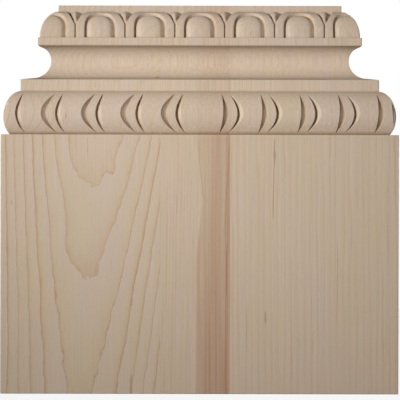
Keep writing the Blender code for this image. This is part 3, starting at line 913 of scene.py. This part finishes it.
QUARTER_SAWN = Board(
    seed=29.0, pith=Pith(-180.0, -0.006, 0.0, 20.0, 0.0, 0.0, 0.05),
    first_ring=1.0, ring_width=4.1, wave=2.6, drift=5.0, fray=0.5,
    yellowing=0.35, late=0.16, late_curve=3.0, line=0.34, line_width=0.6, fibre=0.9, fibre_depth=0.045,
    streaks=(
        Streak(43.9, 0.0195, 0.5, 108.0, 163.0, 6.0, 0.5),
        Streak(47.2, 0.0, 1.1, 145.0, 154.0, 4.0, 0.4),
        Streak(41.5, 0.0, 0.55, 43.0, 53.0, 3.0, 0.6),
        Streak(29.6, 0.0, 0.5, 22.0, 62.0, 14.0, 0.3),
        Streak(86.6, 0.0, 0.5, 40.0, 105.0, 20.0, 0.3),
    ),
    flecks=(((32.0, 226.5), (0.5, 2.2), 0.5), ((95.2, 225.8), (0.7, 0.7), 0.5)),
    stains=(((68.3, 236.8), (3.4, 2.2), 0.6),),
)


def linear(code):
    """An sRGB hex colour as the linear numbers that a shader takes."""
    channels = [int(code[i : i + 2], 16) / 255 for i in (1, 3, 5)]
    return (*[c / 12.92 if c <= 0.04045 else ((c + 0.055) / 1.055) ** 2.4 for c in channels], 1.0)


def node(tree, kind, *values, **named):
    """Add a node and give its first output.

    A second word in the kind is its operation or its interpolation. The values go into its inputs in their
    order. A name with a capital is an input, and any other is a setting."""
    kind, _, way = kind.partition(" ")
    made = tree.nodes.new("ShaderNode" + kind)
    if way:
        setattr(made, "interpolation_type" if kind == "MapRange" else "operation", way)
    inputs = list(enumerate(values))
    for name, value in named.items():
        if name[0].isupper():
            inputs.append((name, value))
        else:
            setattr(made, name, value)
    for name, value in inputs:
        if isinstance(value, bpy.types.NodeSocket):
            tree.links.new(value, made.inputs[name])
        else:
            made.inputs[name].default_value = value
    return made.outputs[0]


def grain(tree, mm, across, along, detail, seed):
    """Noise with a grain: so many millimetres across the fibres, and so many along them."""
    scale = (1 / across, 1 / across, 1 / along)
    stretched = node(tree, "Mapping", Vector=mm, Location=(seed, seed, seed), Scale=scale)
    return node(tree, "TexNoise", Vector=stretched, Scale=1.0, Detail=detail, Roughness=0.55)


def ring_distance(tree, mm, pith):
    """Distance from the tree's pith, and how fast it changes across the front."""
    x, y, z = node(tree, "SeparateXYZ", mm).node.outputs
    lean = node(tree, "Math MULTIPLY_ADD", z, pith.lean, pith.x)
    above = node(tree, "Math SUBTRACT", z, BLOCK_TOP)
    above = node(tree, "Math MAXIMUM", above, 0.0)
    pith_x = node(tree, "Math MULTIPLY_ADD", above, pith.bend, lean)
    across = node(tree, "Math SUBTRACT", x, pith_x)
    down = node(tree, "Math SUBTRACT", BLOCK_TOP, z)
    slower = node(tree, "Math MULTIPLY_ADD", down, -pith.slowing, pith.sinking)
    squared = node(tree, "Math MULTIPLY_ADD", down, slower, pith.depth**2)
    depth = node(tree, "Math SQRT", squared)
    in_front = node(tree, "Math SUBTRACT", y, FRONT * 1000)
    behind = node(tree, "Math SUBTRACT", depth, in_front)
    plan = node(tree, "CombineXYZ", across, behind)
    radius = node(tree, "VectorMath LENGTH", plan).node.outputs["Value"]
    slant = node(tree, "Math DIVIDE", across, radius)
    slant = node(tree, "Math MULTIPLY_ADD", slant, slant, pith.grazing**2)
    return radius, node(tree, "Math SQRT", slant)


def raised_near(tree, mm, value, place_of_it, reach, rise):
    """A value that is higher round one place on the front, as where a ring has a knob."""
    off = node(tree, "VectorMath SUBTRACT", mm, (place_of_it[0], 0.0, place_of_it[1]))
    off = node(tree, "VectorMath MULTIPLY", off, (1 / reach[0], 0.0, 1 / reach[1]))
    off = node(tree, "VectorMath LENGTH", off).node.outputs["Value"]
    near = node(tree, "MapRange SMOOTHSTEP", off, 1.0, 0.0)
    return node(tree, "Math MULTIPLY_ADD", near, rise, value)


def gum_streak(tree, mm, mark):
    """A fine upright streak on the front, as a mask."""
    x, y, z = node(tree, "SeparateXYZ", mm).node.outputs
    middle = node(tree, "Math MULTIPLY_ADD", z, mark.lean, mark.x)
    wander = grain(tree, mm, 4.0, 9.0, 2.0, mark.x)
    wander = node(tree, "Math MULTIPLY_ADD", wander, 1.0, -0.5)
    middle = node(tree, "Math ADD", middle, wander)
    off = node(tree, "Math SUBTRACT", x, middle)
    off = node(tree, "Math ABSOLUTE", off)
    line = (mark.width, mark.width * 0.3, 0.0, mark.strength)
    mask = node(tree, "MapRange SMOOTHSTEP", off, *line)
    foot = node(tree, "MapRange SMOOTHSTEP", z, mark.low, mark.low + mark.fade)
    head = node(tree, "MapRange SMOOTHSTEP", z, mark.high, mark.high - mark.fade)
    skin = node(tree, "MapRange", y, *STREAK_Y)
    for limit in (foot, head, skin):
        mask = node(tree, "Math MULTIPLY", mask, limit)
    return mask


def maple(name, colours, board):
    """Hard maple, planed, carved and sanded, without a finish.

    The eye sees a pale, close-grained, matt wood. Each year ends in a fine darker line, which is a wide V
    on a flat-sawn board and a run of upright lines on a quarter-sawn one."""
    material = bpy.data.materials.new(name)
    material.use_nodes = True
    tree = material.node_tree
    shader = tree.nodes["Principled BSDF"]
    coordinates = node(tree, "TexCoord").node.outputs["Object"]
    mm = node(tree, "Mapping", Vector=coordinates, Scale=(1000.0, 1000.0, 1000.0))

    def pattern(kind):
        across, along, detail, offset = GRAINS[kind]
        return grain(tree, mm, across, along, detail, board.seed + offset)

    # Growth is uneven: knobs and a slow wave bend each ring, and the fibres fray it.
    radius, slant = ring_distance(tree, mm, board.pith)
    for knob in board.knobs:
        radius = raised_near(tree, mm, radius, *knob)
    radius = node(tree, "Math MULTIPLY_ADD", pattern("drift"), board.drift, radius)
    wave = pattern("wave")
    fray = pattern("fray")
    radius = node(tree, "Math MULTIPLY_ADD", wave, board.wave, radius)
    radius = node(tree, "Math MULTIPLY_ADD", fray, board.fray, radius)
    years = node(tree, "Math SUBTRACT", radius, board.first_ring)
    years = node(tree, "Math DIVIDE", years, board.ring_width)
    season = node(tree, "Math FRACT", years)
    year = node(tree, "Math FLOOR", years)
    strength = node(tree, "TexWhiteNoise", W=year, noise_dimensions="1D")
    strength = node(tree, "MapRange", strength, 0.0, 1.0, 0.35, 1.0)

    # Late wood darkens towards the year's end, which is a line of an even width wherever the cut is slanted.
    late = node(tree, "Math POWER", season, board.late_curve)
    late = node(tree, "Math MULTIPLY", late, board.late)
    to_end = node(tree, "Math SUBTRACT", 1.0, season)
    nearest = node(tree, "Math MINIMUM", to_end, season)
    nearest = node(tree, "Math MULTIPLY", nearest, board.ring_width)
    nearest = node(tree, "Math DIVIDE", nearest, slant)
    width = board.line_width
    line = node(tree, "MapRange SMOOTHSTEP", nearest, width, width * 0.2)
    line = node(tree, "Math MULTIPLY", line, board.line)
    rings = node(tree, "Math MAXIMUM", late, line)
    rings = node(tree, "Math MULTIPLY", rings, strength)
    # The rings are faint above the block, where the cuts run across them and the wood was sanded by hand.
    # The back is sawn flat, so there they run on to the top.
    _, y, z = node(tree, "SeparateXYZ", mm).node.outputs
    above = node(tree, "MapRange", z, *MOULDINGS_Z)
    forward = node(tree, "MapRange", y, *FLAT_BACK_Y)
    upper = node(tree, "Math MULTIPLY", above, forward)
    faint = node(tree, "Math MULTIPLY_ADD", upper, -0.65, 1.0)
    rings = node(tree, "Math MULTIPLY", rings, faint)

    # Fibres and vessels are finer than a pixel. They are drawn about 0.6 mm wide, which just shows.
    length_of_fibre, detail, offset = FIBRE
    fibre = grain(tree, mm, board.fibre, length_of_fibre, detail, board.seed + offset)
    vessel = node(tree, "MapRange SMOOTHSTEP", pattern("vessel"), 0.60, 0.72)
    cloud = pattern("cloud")

    # Wood just outside a ring's line is pinker, and it yellows towards the next line.
    pink = node(tree, "Math MULTIPLY_ADD", season, -board.yellowing, 0.5 * board.yellowing)
    pink = node(tree, "Math MULTIPLY_ADD", upper, 0.12, pink)
    pink = node(tree, "Math ADD", cloud, pink, use_clamp=True)
    colour = node(tree, "MixRGB", pink, colours["warm"], colours["cool"])
    colour = node(tree, "MixRGB", rings, colour, colours["ring"])
    if board.heartwood:
        start, waist = board.heartwood
        x = node(tree, "SeparateXYZ", mm).node.outputs["X"]
        inside = node(tree, "Math SUBTRACT", x, start)
        inside = raised_near(tree, mm, inside, *waist)
        inside = node(tree, "Math MULTIPLY_ADD", fray, 0.8, inside)
        edge = node(tree, "MapRange SMOOTHSTEP", inside, 0.0, 1.8)
        red = node(tree, "MapRange", inside, 0.0, 20.0, 0.36, 0.62)
        low = node(tree, "MapRange", z, 162.0, 0.0, 0.85, 1.35)
        paler = node(tree, "Math MULTIPLY_ADD", upper, -0.7, 1.0)
        strips = node(tree, "MapRange", pattern("strips"), 0.3, 0.7, 0.6, 1.4)
        for factor in (edge, low, paler, strips):
            red = node(tree, "Math MULTIPLY", red, factor, use_clamp=True)
        colour = node(tree, "MixRGB", red, colour, colours["heartwood"])
    for marks, tint in ((board.flecks, "gum"), (board.stains, "stain")):
        for mark in marks:
            colour = node(tree, "MixRGB", raised_near(tree, mm, 0.0, *mark), colour, colours[tint])
    for mark in board.streaks:
        colour = node(tree, "MixRGB", gum_streak(tree, mm, mark), colour, colours["gum"])

    # On the narrow mouldings the light catches the fibres' ends more.
    contrast = node(tree, "Math MULTIPLY_ADD", upper, board.fibre_depth, board.fibre_depth)
    shade = node(tree, "MapRange", fibre, 0.3, 0.7, -1.0, 1.0)
    shade = node(tree, "Math MULTIPLY_ADD", shade, contrast, 1.0)
    shade = node(tree, "Math MULTIPLY_ADD", vessel, -0.07, shade)
    # Painted shade: ambient occlusion darkens the corners and the bottoms of the cuts, where shade falls.
    corners = node(tree, "AmbientOcclusion", Distance=0.0025, samples=8, only_local=True).node.outputs["AO"]
    corners = node(tree, "MapRange", corners, 0.88, 0.25, 0.0, 1.0)
    colour = node(tree, "VectorMath SCALE", colour, Scale=shade)
    shaded_colour = node(tree, "VectorMath MULTIPLY", colour, colours["painted_shade"][:3])
    colour = node(tree, "MixRGB", corners, colour, shaded_colour)
    tree.links.new(colour, shader.inputs["Base Color"])
    for name_of_input, value in (("Roughness", 0.62), ("IOR", 1.5), ("Specular IOR Level", 0.35)):
        shader.inputs[name_of_input].default_value = value
    bump = node(tree, "Bump", Strength=0.12, Distance=0.00008, Height=fibre)
    tree.links.new(bump, shader.inputs["Normal"])
    return material


# Stage

PHOTO_PIXELS = 400
PLINTH_PIXELS = 398.3
CAMERA_DISTANCE = 5.0
CAMERA_X = 0.00025
CAMERA_HEIGHT = 0.1218
CAMERA_ROLL = -0.12
SENSOR_MM = 36.0
# Where the main light stands, as seen from what it is aimed at: turned to the left, raised, and so far away
KEY_AIM = Vector((-0.03, FRONT, 0.19))
KEY_TURN, KEY_RISE, KEY_DISTANCE = math.radians(41), math.radians(11), 2.0


def make_floor():
    """A plain pale floor that the plinth stands on."""
    clear_selection()
    bpy.ops.mesh.primitive_plane_add(size=8.0, enter_editmode=True)
    bpy.ops.mesh.select_all(action="SELECT")
    bpy.ops.mesh.subdivide(number_cuts=3)
    bpy.ops.object.mode_set(mode="OBJECT")
    floor = bpy.context.object
    floor.name = "floor"
    paper = bpy.data.materials.new("white_paper")
    paper.use_nodes = True
    tree = paper.node_tree
    shader = tree.nodes["Principled BSDF"]
    shader.inputs["Base Color"].default_value = linear("#A9A8A6")
    shader.inputs["Roughness"].default_value = 0.9
    shader.inputs["Specular IOR Level"].default_value = 0.1
    # The photograph's paper is so bright that it is plain white, with only a trace of shadow.
    seen = node(tree, "LightPath").node.outputs["Is Camera Ray"]
    whiteness = node(tree, "Math MULTIPLY", seen, 0.9)
    white = node(tree, "Emission", Color=linear("#FFFFFF"), Strength=1.0)
    mixed = node(tree, "MixShader", whiteness, shader.outputs[0], white)
    tree.links.new(mixed, tree.nodes["Material Output"].inputs["Surface"])
    floor.data.materials.append(paper)


def add_light(name, kind, place_of_light, aim, **settings):
    """A light that faces a point."""
    data = bpy.data.lights.new(name, kind)
    for setting, value in settings.items():
        setattr(data, setting, value)
    light = bpy.data.objects.new(name, data)
    light.location = place_of_light
    light.rotation_euler = (Vector(aim) - Vector(place_of_light)).to_track_quat("-Z", "Y").to_euler()
    bpy.context.scene.collection.objects.link(light)


def make_lights(context):
    """A round softbox at the upper left, a weak fill, and a light from behind for the back, in a pale room.

    The softbox has a grid and is aimed at the mouldings, so that its light fades down the block."""
    across, middle = math.cos(KEY_RISE), (0.0, 0.0, HIGH.z / 2)
    away = Vector((-math.sin(KEY_TURN) * across, -math.cos(KEY_TURN) * across, math.sin(KEY_RISE)))
    add_light(
        "key", "SPOT", KEY_AIM + KEY_DISTANCE * away, KEY_AIM,
        shadow_soft_size=0.23, spot_size=math.radians(18.5), spot_blend=1.0, energy=262.0,
    )
    add_light("fill", "AREA", (0.2, FRONT - 2.5, 0.20), middle, size=1.2, energy=5.0)
    add_light("back", "AREA", (1.3, 1.6, 0.7), middle, size=1.0, energy=34.0)
    world = bpy.data.worlds.new("studio")
    world.use_nodes = True
    tree = world.node_tree
    tree.nodes.clear()
    seen = node(tree, "LightPath").node.outputs["Is Camera Ray"]
    room = node(tree, "Background", Color=linear("#FFE6C8"), Strength=0.07)
    white = node(tree, "Background", Color=linear("#FFFFFF"), Strength=1.0)
    mixed = node(tree, "MixShader", seen, room, white)
    output = tree.nodes.new("ShaderNodeOutputWorld")
    tree.links.new(mixed, output.inputs["Surface"])
    context.scene.world = world
    context.scene.view_settings.view_transform = "Standard"


def make_camera(context):
    """A long lens, square to the front, with the plinth as large as in the photograph."""
    data = bpy.data.cameras.new("camera")
    seen_width = (HIGH.x - LOW.x) * PHOTO_PIXELS / PLINTH_PIXELS
    data.sensor_width = SENSOR_MM
    data.lens = SENSOR_MM * CAMERA_DISTANCE / seen_width
    data.clip_end = 100.0
    camera = bpy.data.objects.new("camera", data)
    camera.location = (CAMERA_X, FRONT - CAMERA_DISTANCE, CAMERA_HEIGHT)
    camera.rotation_euler = (math.pi / 2, math.radians(CAMERA_ROLL), 0.0)
    context.scene.collection.objects.link(camera)
    context.scene.camera = camera


# Operators, panel and the run itself


class PLINTH_OT_blank(bpy.types.Operator):
    """Draw the blank up through its mouldings and carve the torus and the ovolo"""

    bl_idname = "plinth.blank"
    bl_label = "Carved Blank"
    bl_options = {"REGISTER", "UNDO"}

    def execute(self, context):
        carve_blank(context.scene.plinth)
        return {"FINISHED"}


class PLINTH_OT_boards(bpy.types.Operator):
    """Part the carved blank into its three boards and give each its own maple"""

    bl_idname = "plinth.boards"
    bl_label = "Maple Boards"
    bl_options = {"REGISTER", "UNDO"}

    def execute(self, context):
        look = context.scene.plinth.boards
        # The last tint is painted shade for the corners and the cuts
        tints = ("warm", "cool", "ring", "heartwood", "gum", "stain", "painted_shade")
        colours = {tint: linear(getattr(look, tint)) for tint in tints}
        blank = bpy.data.objects["carved_blank"]
        left_joint = (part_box("left_board")[1][0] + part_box("middle_board")[0][0]) / 2
        right_joint = (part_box("middle_board")[1][0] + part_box("right_board")[0][0]) / 2
        half = look.glue_line / 2
        for side, left, right, board in (
            ("left", None, left_joint - half, FLAT_SAWN),
            ("middle", left_joint + half, right_joint - half, HEART),
            ("right", right_joint + half, None, QUARTER_SAWN),
        ):
            piece = saw_board(blank, f"{side}_board_carved", left, right)
            piece.data.materials.clear()
            piece.data.materials.append(maple(f"{side}_board_maple", colours, board))
            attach(piece, "root")
            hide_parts(f"{side}_board")
        bpy.data.objects.remove(blank)
        return {"FINISHED"}


class PLINTH_OT_stage(bpy.types.Operator):
    """Set the pale floor, the soft light and the camera"""

    bl_idname = "plinth.stage"
    bl_label = "Stage"
    bl_options = {"REGISTER", "UNDO"}

    def execute(self, context):
        make_floor()
        make_lights(context)
        make_camera(context)
        return {"FINISHED"}


class PlinthSettings(bpy.types.PropertyGroup):
    """Everything about the plinth that can be set."""

    mouldings: PointerProperty(type=PlinthMouldings)
    crescents: PointerProperty(type=PlinthCrescents)
    eggs: PointerProperty(type=PlinthEggs)
    boards: PointerProperty(type=PlinthBoards)


class PLINTH_PT_panel(bpy.types.Panel):
    """The plinth's sizes, colours and steps"""

    bl_label = "Carved Plinth"
    bl_idname = "PLINTH_PT_panel"
    bl_space_type = "VIEW_3D"
    bl_region_type = "UI"
    bl_category = "Plinth"

    def draw(self, context):
        settings = context.scene.plinth
        for operator in OPERATORS:
            self.layout.operator(operator.bl_idname)
        for group in (settings.mouldings, settings.crescents, settings.eggs, settings.boards):
            box = self.layout.box()
            for name in group.__annotations__:
                box.prop(group, name)


GROUPS = (PlinthMouldings, PlinthCrescents, PlinthEggs, PlinthBoards, PlinthSettings)
OPERATORS = (PLINTH_OT_blank, PLINTH_OT_boards, PLINTH_OT_stage)
CLASSES = (*GROUPS, *OPERATORS, PLINTH_PT_panel)


def register():
    for item in CLASSES:
        bpy.utils.register_class(item)
    bpy.types.Scene.plinth = PointerProperty(type=PlinthSettings)


def unregister():
    del bpy.types.Scene.plinth
    for item in reversed(CLASSES):
        bpy.utils.unregister_class(item)


def main():
    """Register the classes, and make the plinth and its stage."""
    register()
    bpy.ops.plinth.blank()
    bpy.ops.plinth.boards()
    bpy.ops.plinth.stage()


if __name__ == "__main__":
    main()
